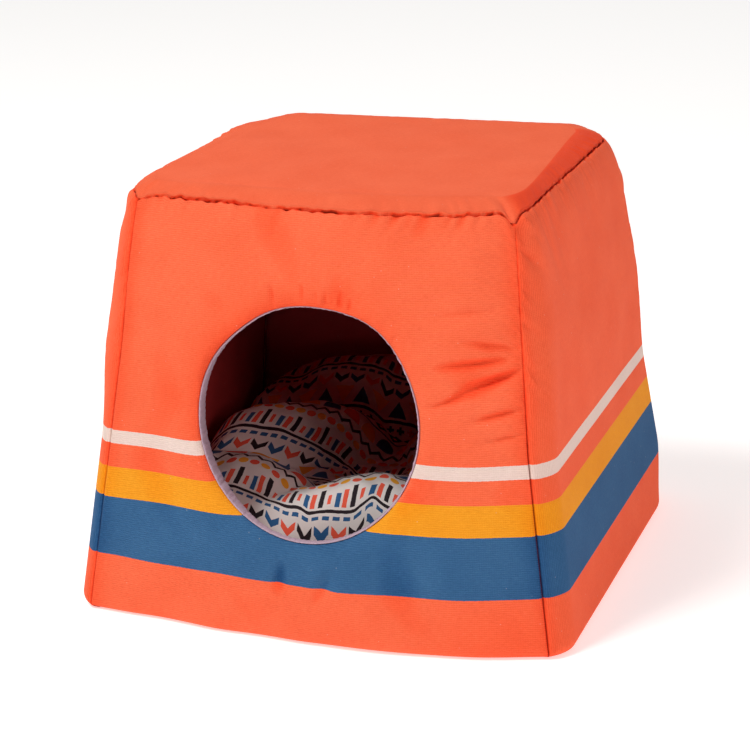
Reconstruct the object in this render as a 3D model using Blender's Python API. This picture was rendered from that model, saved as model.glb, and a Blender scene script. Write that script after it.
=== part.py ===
"""A pet house of padded cloth panels with a round doorway and a plump cushion.

Metres, +Z up. The origin is the centre of the walls' footprint, on the surface
that the house stands on. The doorway faces -Y and the left side is -X.
"""

import math

import bmesh
import bpy

# Driving dimensions of the shell, over its four leaning walls.
HEIGHT = 0.335
FOOT_WIDTH = 0.400
TOP_WIDTH = 0.310
FOOT_DEPTH = 0.366
TOP_DEPTH = 0.276
FRONT_LEAN = math.atan2((FOOT_DEPTH - TOP_DEPTH) / 2, HEIGHT)
WALL_THICK = 0.0245
ROOF_THICK = 0.024
BASE_THICK = 0.012
BASE_CLEARANCE = 0.0012

# The side walls' cloth wraps the upright corners, so their seams lie on the front and the back.
SEAM_FROM_SIDE = 0.0145
CORNER_RUN = 0.019
CORNER_STEPS = 3

# The roof has a turned-down edge strip, and its seam lies at the strip's lower edge.
ROOF_STRIP_DROP = 0.0105
ROOF_STRIP_RUN = 0.016
STRIP_LIP = 0.0025
SEAM_Z = HEIGHT - ROOF_STRIP_DROP

# Each padded panel rolls in to its seams, and round its foot.
SEAM_DEPTH = 0.003
SEAM_ROLL = 0.007
FOOT_ROLL = 0.010

# The cushion pushes the front wall out, most at the foot and a little right of its middle.
FRONT_BOW_FOOT = 0.026
FRONT_BOW_TOP = 0.017
FRONT_BOW_SKEW = 0.53
BACK_BOW = 0.003

# The doorway, measured on the front wall. Its edge is thinner than the wall.
DOOR_RADIUS = 0.0890
DOOR_HEIGHT = 0.1655
DOOR_EDGE_THICK = 0.0085
DOOR_FRONT_ROLL = 0.0035
DOOR_ROLL_RUN = 0.012
DOOR_THIN_RUN = 0.026
BINDING_THICK = 0.0014
BINDING_OVERLAP = 0.0008
BINDING_CLEARANCE = 0.0006
BINDING_ROUND = 0.0006
BINDING_STEPS = 72

# The walls meet on mitres, which draw each front or back panel in below its outer face.
SIDE_MITRE = (WALL_THICK - SEAM_FROM_SIDE) / WALL_THICK
ROOF_MITRE = (ROOF_THICK - ROOF_STRIP_DROP) / WALL_THICK
INNER_CORNER_STEP = 0.0005

# The lining is a sheet behind every wall and under the roof.
LINING_THICK = 0.0012

# Touching pieces stay this far apart.
GAP = 0.0004

# The cushion fills the floor. Its middle is pressed in, with folds that run out from there.
PIT_X = -0.012
PIT_Y = -0.008
PIT_Z = 0.066
RIM_Z = 0.100
RIM_RUN = 0.085
BACK_RISE = 0.016
CUSHION_CORNER = 0.055
CUSHION_SHOULDER = 0.20
CUSHION_SHOULDER_DROP = 0.040
CUSHION_BELLY_Z = 0.055

# The cushion's side: how far up to its belly, and how far in from the walls.
CUSHION_SIDE = ((0.18, 0.0055), (0.55, 0.0015), (1.0, 0.0))

# Each fold: its direction from the pit in degrees, half its spread, and its height.
FOLDS = (
    (-78, 40, 0.006),
    (-150, 18, 0.007),
    (172, 24, 0.009),
    (122, 28, 0.006),
    (70, 30, 0.016),
    (-18, 26, 0.008),
)

# Mesh density: the steps along a wall, and where the front wall's loops lie, as
# distances from the doorway's edge and as shares of the way on to the seams.
DOOR_LOOPS = (0.0, 0.0008, 0.003, 0.007, 0.012)
THIN_LOOPS = (0.0, 0.006, 0.013, 0.020, 0.026)
SKIN_SHARES = (0.3, 0.6, 0.83, 0.93, 0.975, 0.994, 1.0)
BACK_SHARES = (0.33, 0.66, 1.0)
ROOF_LOOPS = (0.0, 0.0015, 0.0045, 0.0085, 0.0125, ROOF_STRIP_RUN, 0.022, 0.045, 0.085)
FRONT_STEPS = 24
SIDE_STEPS = 14
WALL_ROWS = 14
CUSHION_STEPS = 64
CUSHION_FLAT = 0.88
CUSHION_LOOPS = (1.0, 0.97, 0.92, 0.85, 0.74, 0.6, 0.45, 0.3, 0.15)


def clear_scene():
    for item in list(bpy.data.objects):
        bpy.data.objects.remove(item, do_unlink=True)


def cloth(name, colour, roughness):
    """One Principled material for a piece."""
    material = bpy.data.materials.new(name)
    material.use_nodes = True
    shader = material.node_tree.nodes["Principled BSDF"]
    shader.inputs["Base Color"].default_value = (*colour, 1.0)
    shader.inputs["Roughness"].default_value = roughness
    shader.inputs["Metallic"].default_value = 0.0
    return material


def mix(start, end, share):
    return start + (end - start) * share


def end_spaced(count):
    """Shares from 0 to 1, closest together at both ends."""
    return [0.5 - 0.5 * math.cos(math.pi * step / count) for step in range(count + 1)]


def roll(distance, run):
    """1 at an edge, falling to 0 at the run, as a rounded edge does."""
    share = 1.0 - min(max(distance / run, 0.0), 1.0)
    return 1.0 - math.sqrt(1.0 - share * share)


def half_width(z):
    return mix(FOOT_WIDTH, TOP_WIDTH, z / HEIGHT) / 2


def half_depth(z):
    return mix(FOOT_DEPTH, TOP_DEPTH, z / HEIGHT) / 2


def make_object(name, mesh_data, material):
    """Turn a bmesh into a named object with all its faces pointing out."""
    bmesh.ops.recalc_face_normals(mesh_data, faces=mesh_data.faces[:])
    mesh = bpy.data.meshes.new(name)
    mesh_data.to_mesh(mesh)
    mesh_data.free()
    mesh.materials.append(material)
    mesh.shade_smooth()
    mesh.set_sharp_from_angle(angle=math.radians(40))
    made = bpy.data.objects.new(name, mesh)
    bpy.context.scene.collection.objects.link(made)
    return made


def pad(name, outside, inside, material):
    """A solid between two matching grids of points, closed round their edges."""
    solid = bmesh.new()
    outer = [[solid.verts.new(point) for point in row] for row in outside]
    inner = [[solid.verts.new(point) for point in row] for row in inside]
    rows = len(outer)
    columns = len(outer[0])
    for grid in (outer, inner):
        for row in range(rows - 1):
            for column in range(columns - 1):
                solid.faces.new((grid[row][column], grid[row][column + 1],
                                 grid[row + 1][column + 1], grid[row + 1][column]))
    for row in range(rows - 1):
        for column in (0, columns - 1):
            solid.faces.new((outer[row][column], outer[row + 1][column],
                             inner[row + 1][column], inner[row][column]))
    for column in range(columns - 1):
        for row in (0, rows - 1):
            solid.faces.new((outer[row][column], outer[row][column + 1],
                             inner[row][column + 1], inner[row][column]))
    return make_object(name, solid, material)


def join_loops(solid, first, second):
    """A band of faces between two loops of the same number of vertices."""
    count = len(first)
    for step in range(count):
        after = (step + 1) % count
        solid.faces.new((first[step], first[after], second[after], second[step]))


def ring(name, loops, material):
    """A solid whose skin runs through all the loops and back to the first."""
    solid = bmesh.new()
    rings = [[solid.verts.new(point) for point in loop] for loop in loops]
    for index, loop in enumerate(rings):
        join_loops(solid, loop, rings[(index + 1) % len(rings)])
    return make_object(name, solid, material)


def capped(name, loops, start, end, material):
    """A solid whose skin runs through the loops, closed by a fan round a point at each end."""
    solid = bmesh.new()
    rings = [[solid.verts.new(point) for point in loop] for loop in loops]
    for first, second in zip(rings, rings[1:]):
        join_loops(solid, first, second)
    for loop, point in ((rings[0], start), (rings[-1], end)):
        tip = solid.verts.new(point)
        for step, corner in enumerate(loop):
            solid.faces.new((corner, loop[(step + 1) % len(loop)], tip))
    return make_object(name, solid, material)


def front_bow(x, z):
    """How far the front wall stands out past its leaning plane."""
    share = x / (half_width(z) - SEAM_FROM_SIDE)
    height = mix(FRONT_BOW_FOOT, FRONT_BOW_TOP, z / HEIGHT)
    return height * max(1.0 - share * share, 0.0) * (1.0 + FRONT_BOW_SKEW * share)


def door_distance(x, z):
    """Distance from the doorway's edge, measured on the front wall."""
    return math.hypot(x, (z - DOOR_HEIGHT) / math.cos(FRONT_LEAN)) - DOOR_RADIUS


def door_point(radius, angle):
    """A place (x, z) round the doorway's middle, on the leaning front wall."""
    return radius * math.cos(angle), DOOR_HEIGHT + radius * math.sin(angle) * math.cos(FRONT_LEAN)


def front_face(x, z):
    """Y of the front wall's outer cloth, away from its seams."""
    return -half_depth(z) - front_bow(x, z) + DOOR_FRONT_ROLL * roll(door_distance(x, z), DOOR_ROLL_RUN)


def front_back_face(x, z):
    """Y of the front wall's inner side, which thins towards the doorway."""
    ease = min(max(door_distance(x, z) / DOOR_THIN_RUN, 0.0), 1.0)
    ease = ease * ease * (3.0 - 2.0 * ease)
    thick = mix(DOOR_EDGE_THICK + DOOR_FRONT_ROLL, WALL_THICK, ease)
    return -half_depth(z) - front_bow(x, z) + thick


def panel_border(half_span, low, high):
    """Points (x, z) round a front or back panel, anticlockwise from its lower left corner."""
    shares = end_spaced(FRONT_STEPS)[:-1]
    border = [(mix(-half_span(low), half_span(low), share), low) for share in shares]
    for share in shares:
        z = mix(low, high, share)
        border.append((half_span(z), z))
    border += [(mix(half_span(high), -half_span(high), share), high) for share in shares]
    for share in shares:
        z = mix(high, low, share)
        border.append((-half_span(z), z))
    return border


def doorway_loop(border, offset):
    """Points (x, z) round the doorway, one towards each border point."""
    loop = []
    for x, z in border:
        angle = math.atan2((z - DOOR_HEIGHT) / math.cos(FRONT_LEAN), x)
        loop.append(door_point(DOOR_RADIUS + offset, angle))
    return loop


def front_loops(border, offsets, shares):
    """Loops (x, z) from the doorway out to the border."""
    loops = [doorway_loop(border, offset) for offset in offsets]
    start = loops[-1]
    for share in shares:
        loops.append([(mix(x0, x1, share), mix(z0, z1, share))
                      for (x0, z0), (x1, z1) in zip(start, border)])
    return loops


def seam_inset(from_seam, z):
    """How far the cloth lies below its flat face near a seam, the roof or the foot."""
    inset = SEAM_DEPTH * max(roll(from_seam, SEAM_ROLL), roll(SEAM_Z - GAP - z, SEAM_ROLL))
    return max(inset, FOOT_ROLL * roll(z, FOOT_ROLL))


def seam_span(z):
    """Half the distance between a front or back panel's upright seams."""
    return half_width(z) - SEAM_FROM_SIDE - GAP / 2


def mitred(x, z, depth):
    """A place on a front or back panel at a depth below its face: the panel is smaller there."""
    x *= 1.0 - depth * SIDE_MITRE / seam_span(z)
    z *= 1.0 - depth * ROOF_MITRE / SEAM_Z
    return x, z


def front_panel(material):
    border = panel_border(seam_span, 0.0, SEAM_Z - GAP)

    def outside(x, z):
        inset = seam_inset(seam_span(z) - abs(x), z)
        x, z = mitred(x, z, inset)
        return (x, front_face(x, z) + inset, z)

    skin = front_loops(border, DOOR_LOOPS, SKIN_SHARES)
    inner_top = SEAM_Z - GAP - ROOF_MITRE * WALL_THICK
    inner_border = panel_border(lambda z: half_width(z) - WALL_THICK - GAP / 2, 0.0, inner_top)
    back = front_loops(inner_border, THIN_LOOPS, BACK_SHARES)
    loops = [[outside(x, z) for x, z in loop] for loop in skin]
    loops += [[(x, front_back_face(x, z), z) for x, z in loop] for loop in reversed(back)]
    return ring("front_panel", loops, material)


def back_panel(material):
    outside = []
    inside = []
    for row in end_spaced(WALL_ROWS):
        z = row * (SEAM_Z - GAP)
        inner_z = row * (SEAM_Z - GAP - ROOF_MITRE * WALL_THICK)
        outer_row = []
        inner_row = []
        for column in end_spaced(FRONT_STEPS):
            side = 2.0 * column - 1.0
            x = side * seam_span(z)
            inset = seam_inset(seam_span(z) - abs(x), z)
            crown = BACK_BOW * (1.0 - side * side) * math.sin(math.pi * row)
            x, outer_z = mitred(x, z, inset)
            outer_row.append((x, half_depth(outer_z) + crown - inset, outer_z))
            inner_x = side * (half_width(inner_z) - WALL_THICK - GAP / 2)
            inner_row.append((inner_x, half_depth(inner_z) - WALL_THICK, inner_z))
        outside.append(outer_row)
        inside.append(inner_row)
    return pad("back_panel", outside, inside, material)


def side_section(z):
    """Outer points (x, y, normal x, normal y, distance from the seam) of the right wall at a height."""
    wide = half_width(z)
    deep = half_depth(z)
    front = []
    walked = 0.0
    before = (wide - SEAM_FROM_SIDE, -deep)
    for step in range(CORNER_STEPS + 1):
        turn = math.pi / 2 * step / CORNER_STEPS
        x = wide - SEAM_FROM_SIDE * (1.0 - math.sin(turn))
        y = -deep + CORNER_RUN * (1.0 - math.cos(turn))
        walked += math.hypot(x - before[0], y - before[1])
        before = (x, y)
        front.append((x, y, math.sin(turn), -math.cos(turn), walked))
    back = [(x, -y, nx, -ny, far) for x, y, nx, ny, far in reversed(front)]
    straight = []
    for share in end_spaced(SIDE_STEPS)[1:-1]:
        y = mix(front[-1][1], back[0][1], share)
        straight.append((wide, y, 1.0, 0.0, walked + min(share, 1.0 - share) * 2 * deep))
    return front + straight + back


def side_inner_y(z, inset=0.0):
    """Inner Y of each column: the corner's columns stay close to the inner corner."""
    deep = half_depth(z) - WALL_THICK - inset
    corner = [-deep + INNER_CORNER_STEP * step for step in range(CORNER_STEPS + 1)]
    straight = [mix(corner[-1], -corner[-1], share) for share in end_spaced(SIDE_STEPS)[1:-1]]
    return corner + straight + [-y for y in reversed(corner)]


def side_panel(name, mirror, material):
    outside = []
    inside = []
    for row in end_spaced(WALL_ROWS):
        z = row * (SEAM_Z - GAP)
        outer_z = z - SEAM_DEPTH * ROOF_MITRE * (row == 1.0)
        inner_z = row * (SEAM_Z - GAP - ROOF_MITRE * WALL_THICK)
        section = side_section(outer_z)
        outer_row = []
        for index, (x, y, nx, ny, from_seam) in enumerate(section):
            inset = seam_inset(from_seam, z)
            x -= nx * inset
            y -= ny * inset
            if index in (0, len(section) - 1):
                x -= inset * SIDE_MITRE - GAP / 2
            outer_row.append((mirror * x, y, outer_z))
        inner_x = half_width(inner_z) - WALL_THICK + GAP / 2
        inner_row = [(mirror * inner_x, y, inner_z) for y in side_inner_y(inner_z)]
        outside.append(outer_row)
        inside.append(inner_row)
    return pad(name, outside, inside, material)


def house_outline(z):
    """Outer points (x, y) round the whole house at a height, anticlockwise."""
    right = [(x, y) for x, y, nx, ny, far in side_section(z)]
    left = [(-x, -y) for x, y in right]
    span = half_width(z) - SEAM_FROM_SIDE
    across = [mix(-span, span, share) for share in end_spaced(FRONT_STEPS)[1:-1]]
    front = [(x, -half_depth(z) - front_bow(x, z)) for x in across]
    back = [(-x, half_depth(z)) for x in across]
    return front + right + back + left


def inner_outline(z, inset=0.0):
    """Points (x, y) round the walls' inner faces or inside them, one for each outer point."""
    wide = half_width(z) - WALL_THICK - inset
    deep = half_depth(z) - WALL_THICK - inset
    right = [(wide, y) for y in side_inner_y(z, inset)]
    left = [(-x, -y) for x, y in right]
    across = [mix(-wide, wide, share) for share in end_spaced(FRONT_STEPS)[1:-1]]
    front = [(x, -deep - front_bow(x, z)) for x in across]
    back = [(-x, deep) for x in across]
    return front + right + back + left


def shrunk(outline, z, inset):
    """An outline drawn in by about the same distance on every side."""
    across = 1.0 - inset / half_width(z)
    along = 1.0 - inset / half_depth(z)
    return [(x * across, y * along) for x, y in outline]


def roof_panel(material):
    outline = house_outline(SEAM_Z)
    ceiling = HEIGHT - ROOF_THICK
    inner = inner_outline(ceiling)
    edge = SEAM_DEPTH / WALL_THICK
    rim = [(mix(x0, x1, edge), mix(y0, y1, edge)) for (x0, y0), (x1, y1) in zip(outline, inner)]
    loops = [[(x, y, ceiling) for x, y in inner]]
    loops.append([(x, y, SEAM_Z - SEAM_DEPTH * ROOF_MITRE) for x, y in rim])
    loops.append([(x, y, SEAM_Z + STRIP_LIP / 3) for x, y in shrunk(outline, SEAM_Z, SEAM_DEPTH * 0.4)])
    for inset in ROOF_LOOPS:
        share = min(inset / ROOF_STRIP_RUN, 1.0)
        z = SEAM_Z + mix(STRIP_LIP, ROOF_STRIP_DROP, math.sin(math.pi / 2 * share))
        loops.append([(x, y, z) for x, y in shrunk(outline, SEAM_Z, inset)])
    return capped("roof_panel", loops, (0.0, 0.0, ceiling), (0.0, 0.0, HEIGHT), material)


def prism(name, low_corners, high_corners, material):
    """A flat sheet or pad between two four-cornered faces."""
    solid = bmesh.new()
    low = [solid.verts.new(point) for point in low_corners]
    high = [solid.verts.new(point) for point in high_corners]
    solid.faces.new(low)
    solid.faces.new(high)
    join_loops(solid, low, high)
    return make_object(name, solid, material)


def flat_sheet(name, low, high, inset, material):
    """A level sheet that reaches the walls' inner faces, less an inset."""
    loops = [[(x, y, z) for x, y in inner_outline(z, inset)] for z in (low, high)]
    return capped(name, loops, (0.0, 0.0, low), (0.0, 0.0, high), material)


def base_panel(material):
    return flat_sheet("base_panel", 0.0, BASE_THICK, BASE_CLEARANCE, material)


def lining_heights():
    """The lining's lower and upper edges on the walls."""
    low = BASE_THICK + GAP
    high = HEIGHT - ROOF_THICK - LINING_THICK - 3 * GAP
    return low, high


def lining_side(name, mirror, material):
    low, high = lining_heights()
    near = WALL_THICK + GAP
    far = near + LINING_THICK

    def face(inset):
        corners = []
        for z, side in ((low, -1), (low, 1), (high, 1), (high, -1)):
            corners.append((mirror * (half_width(z) - inset), side * (half_depth(z) - near), z))
        return corners

    return prism(name, face(near), face(far), material)


def lining_back(material):
    low, high = lining_heights()
    near = WALL_THICK + GAP
    side_room = near + LINING_THICK + GAP

    def face(inset):
        corners = []
        for z, side in ((low, -1), (low, 1), (high, 1), (high, -1)):
            corners.append((side * (half_width(z) - side_room), half_depth(z) - inset, z))
        return corners

    return prism("lining_back", face(near), face(near + LINING_THICK), material)


def lining_front(material):
    low, high = lining_heights()
    near = 2 * GAP
    side_room = WALL_THICK + LINING_THICK + 2 * GAP
    border = panel_border(lambda z: half_width(z) - side_room, low, high)
    loops = front_loops(border, THIN_LOOPS, BACK_SHARES)
    far = near + LINING_THICK
    skin = [[(x, front_back_face(x, z) + near, z) for x, z in loop] for loop in loops]
    skin += [[(x, front_back_face(x, z) + far, z) for x, z in loop] for loop in reversed(loops)]
    return ring("lining_front", skin, material)


def lining_roof(material):
    top = HEIGHT - ROOF_THICK - GAP
    return flat_sheet("lining_roof", top - LINING_THICK, top, 2 * GAP, material)


def doorway_binding(material):
    """A tape round the doorway's edge, a little proud of the wall, with rounded edges."""
    outer = DOOR_RADIUS - BINDING_CLEARANCE
    inner = outer - BINDING_THICK
    middle = (outer + inner) / 2
    back = DOOR_EDGE_THICK + LINING_THICK + GAP
    section = (
        (outer, back - BINDING_ROUND),
        (outer, -BINDING_OVERLAP + BINDING_ROUND),
        (middle, -BINDING_OVERLAP),
        (inner, -BINDING_OVERLAP + BINDING_ROUND),
        (inner, back - BINDING_ROUND),
        (middle, back),
    )
    loops = []
    for radius, reach in section:
        loop = []
        for step in range(BINDING_STEPS):
            angle = 2.0 * math.pi * step / BINDING_STEPS
            edge_x, edge_z = door_point(DOOR_RADIUS, angle)
            x, z = door_point(radius, angle)
            y = -half_depth(edge_z) - front_bow(edge_x, edge_z) + DOOR_FRONT_ROLL + reach
            loop.append((x, y, z))
        loops.append(loop)
    return ring("doorway_binding", loops, material)


def cushion_border(z, angle):
    """The cushion's reach from the pit at a height, in a direction: a rectangle with round corners."""
    room = WALL_THICK + LINING_THICK + 2 * GAP
    wide = half_width(z) - room
    deep = half_depth(z) - room
    low = 0.0
    high = wide + deep
    for attempt in range(40):
        reach = (low + high) / 2
        x = abs(PIT_X + reach * math.cos(angle))
        y = abs(PIT_Y + reach * math.sin(angle))
        past_x = max(x - (wide - CUSHION_CORNER), 0.0)
        past_y = max(y - (deep - CUSHION_CORNER), 0.0)
        if math.hypot(past_x, past_y) > CUSHION_CORNER:
            high = reach
        else:
            low = reach
    return low


def cushion_height(angle, distance):
    """Height of the cushion's top at a direction and distance from the pit."""
    ease = min(distance / RIM_RUN, 1.0)
    ease = ease * ease * (3.0 - 2.0 * ease)
    height = mix(PIT_Z, RIM_Z, ease)
    height += BACK_RISE * ease * (0.5 + 0.5 * math.sin(angle))
    for direction, spread, rise in FOLDS:
        turn = math.degrees(angle) - direction
        turn = (turn + 180.0) % 360.0 - 180.0
        height += rise * ease * math.exp(-((turn / spread) ** 2) * 1.5)
    return height


def cushion(material):
    bottom = BASE_THICK + GAP
    angles = [2.0 * math.pi * step / CUSHION_STEPS for step in range(CUSHION_STEPS)]
    loops = [[place(angle, CUSHION_FLAT * cushion_border(bottom, angle), bottom) for angle in angles]]
    for rise, undercut in CUSHION_SIDE:
        z = mix(bottom, CUSHION_BELLY_Z, rise)
        loops.append([place(angle, cushion_border(z, angle) - undercut, z) for angle in angles])
    for share in CUSHION_LOOPS:
        loop = []
        past = max(share - (1.0 - CUSHION_SHOULDER), 0.0) / CUSHION_SHOULDER
        drop = CUSHION_SHOULDER_DROP * (1.0 - math.sqrt(max(1.0 - past * past, 0.0)))
        for angle in angles:
            reach = cushion_border(RIM_Z, angle)
            z = cushion_height(angle, share * reach) - drop
            loop.append(place(angle, share * min(reach, cushion_border(z, angle)), z))
        loops.append(loop)
    return capped("cushion", loops, (PIT_X, PIT_Y, bottom), (PIT_X, PIT_Y, PIT_Z), material)


def place(angle, distance, z):
    return (PIT_X + distance * math.cos(angle), PIT_Y + distance * math.sin(angle), z)


def build():
    clear_scene()
    shell_cloth = cloth("orange_cloth", (0.84, 0.15, 0.05), 0.85)
    base_cloth = cloth("base_cloth", (0.30, 0.28, 0.30), 0.9)
    tape = cloth("grey_tape", (0.40, 0.37, 0.39), 0.85)
    lining_cloth = cloth("grey_lining", (0.28, 0.25, 0.27), 0.9)
    print_cloth = cloth("printed_cloth", (0.72, 0.66, 0.60), 0.85)
    front_panel(shell_cloth)
    back_panel(shell_cloth)
    side_panel("right_panel", 1.0, shell_cloth)
    side_panel("left_panel", -1.0, shell_cloth)
    roof_panel(shell_cloth)
    base_panel(base_cloth)
    doorway_binding(tape)
    lining_front(lining_cloth)
    lining_back(lining_cloth)
    lining_side("lining_right", 1.0, lining_cloth)
    lining_side("lining_left", -1.0, lining_cloth)
    lining_roof(lining_cloth)
    cushion(print_cloth)


build()
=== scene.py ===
import math

import bmesh
import bpy
import numpy as np
from mathutils import Matrix, Vector, noise


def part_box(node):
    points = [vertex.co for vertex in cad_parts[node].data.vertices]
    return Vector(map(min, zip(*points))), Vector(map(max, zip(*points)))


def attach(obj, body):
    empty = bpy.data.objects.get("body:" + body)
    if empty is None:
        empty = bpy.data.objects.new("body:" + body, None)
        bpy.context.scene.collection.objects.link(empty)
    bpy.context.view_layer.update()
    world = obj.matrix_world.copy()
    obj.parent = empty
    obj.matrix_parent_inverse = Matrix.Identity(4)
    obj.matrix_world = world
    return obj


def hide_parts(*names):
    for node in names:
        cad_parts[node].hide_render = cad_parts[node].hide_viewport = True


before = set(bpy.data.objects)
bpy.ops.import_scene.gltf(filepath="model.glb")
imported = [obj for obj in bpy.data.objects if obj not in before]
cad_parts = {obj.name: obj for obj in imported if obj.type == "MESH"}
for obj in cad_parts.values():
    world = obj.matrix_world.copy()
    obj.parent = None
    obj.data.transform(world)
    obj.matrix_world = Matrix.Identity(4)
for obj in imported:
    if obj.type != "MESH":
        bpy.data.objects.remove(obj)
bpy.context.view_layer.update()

# The shell's driving sizes in metres, as in the CAD. The doorway faces -Y.
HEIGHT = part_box("roof_panel")[1][2]
FOOT_WIDTH = 0.400
TOP_WIDTH = 0.310
FOOT_DEPTH = 0.366
TOP_DEPTH = 0.276
FRONT_LEAN = math.atan2((FOOT_DEPTH - TOP_DEPTH) / 2, HEIGHT)
WALL_THICK = 0.0245
ROOF_THICK = 0.024
LINING_THICK = 0.0012
GAP = 0.0004

# Seams: the side walls' cloth wraps the corners, and the roof has a turned-down strip.
# The right front seam nears the corner as it rises, and the back corners are rounder
# at the roof and the foot.
SEAM_FROM_SIDE = 0.0145
RIGHT_SEAM_SHIFT = 0.0095
LEFT_SEAM_SHIFT = 0.0022
LEFT_SEAM_OFFSET = 0.001
SEAM_SHIFT_FROM = 0.150
CORNER_RUN = 0.024
TOP_CORNER_RUN = 0.038
LEFT_BACK_EXTRA = 0.020
RIGHT_BACK_EXTRA = 0.006
BACK_TOP_RUN = 0.045
BACK_FOOT_EXTRA = 0.023
BACK_FOOT_RUN = 0.06
ROOF_STRIP_DROP = 0.0105
SEAM_Z = HEIGHT - ROOF_STRIP_DROP
SEAM_DEPTH = 0.0021
SEAM_NICK = 0.0016
NICK_RUN = 0.0007
# Widths of the painted shadow lines in the walls' seams and under the roof's seam.
SEAM_SHADOW_LINE = 0.0012
ROOF_SEAM_SHADOW_LINE = 0.0004
SEAM_ROLL = 0.0060
ROOF_SET_BACK = 0.0013
FOOT_ROLL = 0.010
SIDE_MITRE = (WALL_THICK - SEAM_FROM_SIDE) / WALL_THICK
ROOF_MITRE = (ROOF_THICK - ROOF_STRIP_DROP) / WALL_THICK
WALL_TOP = SEAM_Z - GAP
INNER_TOP = WALL_TOP - ROOF_MITRE * WALL_THICK

# The cushion pushes the front wall out.
FRONT_BOW_FOOT = 0.026
FRONT_FOOT_TUCK = 0.0045
FOOT_TUCK_RUN = 0.04
FRONT_BOW_TOP = 0.017
FRONT_BOW_SKEW = 0.53
BACK_BOW = 0.003

# The padding swells the walls a little under the roof's seam.
SIDE_SWELL = 0.0068
FRONT_SWELL = 0.0025
SWELL_RUN = 0.042
SWELL_FADE = 0.09

# The roof's seam dips where it meets a front seam: middle x, y, reach along each, depth.
CORNER_DIPS = ((0.1495, -0.141, 0.0055, 0.0095, 0.0092), (-0.142, -0.142, 0.006, 0.012, 0.0040))

# The doorway, its rolled-in edge and its tape.
DOOR_RADIUS = 0.0890
DOOR_HEIGHT = 0.1655
DOOR_MIDDLE = -0.0019
DOOR_PULLS = ((55.0, 21.0, 0.0044), (129.0, 20.0, -0.0026))
DOOR_EDGE_THICK = 0.0085
DOOR_FOOT_THICK = 0.0030
DOOR_FRONT_ROLL = 0.0048
DOOR_ROLL_RUN = 0.015
DOOR_THIN_RUN = 0.026
TAPE_STITCH = 0.0042

# Gathers at the seams: height, pitch, reach from the seam and slant.
DOOR_GATHERS = (0.0046, 0.0085, 0.011, 0.0)
FRONT_SEAM_GATHERS = (0.0064, 0.0074, 0.0090, -0.9)
FRONT_ROOF_GATHERS = (0.0036, 0.0070, 0.0070, 0.4)
BACK_SEAM_GATHERS = (0.0014, 0.008, 0.008, -0.8)
BACK_ROOF_GATHERS = (0.0012, 0.008, 0.008, 0.4)
RIGHT_SEAM_GATHERS = (0.0080, 0.0074, 0.0085, 1.0)
LEFT_SEAM_GATHERS = (0.0035, 0.0074, 0.0085, 1.0)
SIDE_ROOF_GATHERS = (0.0038, 0.0052, 0.016, -0.55)
SIDE_ROOF_FOLDS = (0.0055, 0.0120, 0.030, -0.60)
ROOF_STRIP_GATHERS = (0.0011, 0.0080, 0.0060, 0.4)
GATHERS_FROM = 0.12

# The stripes printed round the walls, by the height of their edges, and the inks.
WHITE_STRIPE = (0.1337, 0.1442)
YELLOW_STRIPE = (0.0925, 0.1155)
BLUE_STRIPE = (0.0466, 0.0925)
ORANGE = (0.98, 0.158, 0.066)
OFF_WHITE = (0.86, 0.70, 0.63)
YELLOW = (0.93, 0.362, 0.019)
BLUE = (0.041, 0.134, 0.288)
LINT = (0.85, 0.75, 0.68)
TAPE_GREY = (0.53, 0.395, 0.485)
# Painted red light: the grey lining is coloured red, for the red light that fills the inside of the orange
# walls.
LINING_PAINTED_RED_LIGHT = (0.46, 0.045, 0.045)

# Each point of a piece has a shade, painted into the cloth's colour. On the striped cloth, up to 0.5 it
# is painted shade that deepens the colour to a darker red, and above that it turns to the painted shadow
# in the seams' gaps. On the cushion it is the share of the painted shade of the dim inside.
SHADE_DEEPENING = 0.42
SEAM_SHADOW_COLOUR = (0.17, 0.008, 0.004)
BESIDE_SEAM_SHADE = 0.22
FOLD_SHADE = 0.34
DOOR_SHADE = 0.34
LOW_RIGHT_SHADE = 0.15
RIGHT_WALL_SHADE = 0.09
STRIP_SHADE = 0.42
CABIN_SHADE = 0.9
CABIN_SHADE_TINT = (0.66, 0.25, 0.25)

# The cushion: its pit and its mounds. Each mound is a dome: middle x, y, half length,
# half breadth, turn in degrees, height of its top and height where its sides would end.
PIT = Vector((-0.008, -0.018, 0.066))
MOUNDS = (
    (0.030, -0.103, 0.140, 0.062, 18, 0.099, 0.030),
    (-0.100, -0.088, 0.085, 0.046, 4, 0.103, 0.040),
    (-0.120, -0.118, 0.070, 0.055, 0, 0.090, 0.030),
    (-0.085, 0.012, 0.095, 0.050, 24, 0.114, 0.045),
    (-0.020, 0.105, 0.160, 0.060, 6, 0.130, 0.050),
    (0.105, -0.045, 0.088, 0.055, -22, 0.120, 0.045),
    (0.085, 0.045, 0.085, 0.060, 20, 0.122, 0.050),
)
CREASE_SOFTNESS = 0.0022
CUSHION_CORNER = 0.055
CUSHION_EDGE_Z = 0.095
CUSHION_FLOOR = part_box("base_panel")[1][2] + GAP
# Below its widest loop, the cushion's side: share of the rim's height, and how far it tucks in.
CUSHION_SIDE = ((0.75, 0.0), (0.5, 0.0005), (0.28, 0.002), (0.12, 0.005), (0.03, 0.010), (0.0, 0.018),
                (0.0, 0.06))

# The photograph's view of the house.
CAMERA_AZIMUTH = math.radians(19.05)
CAMERA_ELEVATION = math.radians(18.02)
CAMERA_ROLL = math.radians(-1.73)
CAMERA_DISTANCE = 1.9429
CAMERA_TARGET = Vector((-0.0069, 0.0, 0.148))
CAMERA_LENS = 115.6


def mix(start, end, share):
    return start + (end - start) * share


def ramp(value, run):
    """0 up to 0, rising straight to 1 at the run."""
    return np.clip(value / run, 0.0, 1.0)


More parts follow.
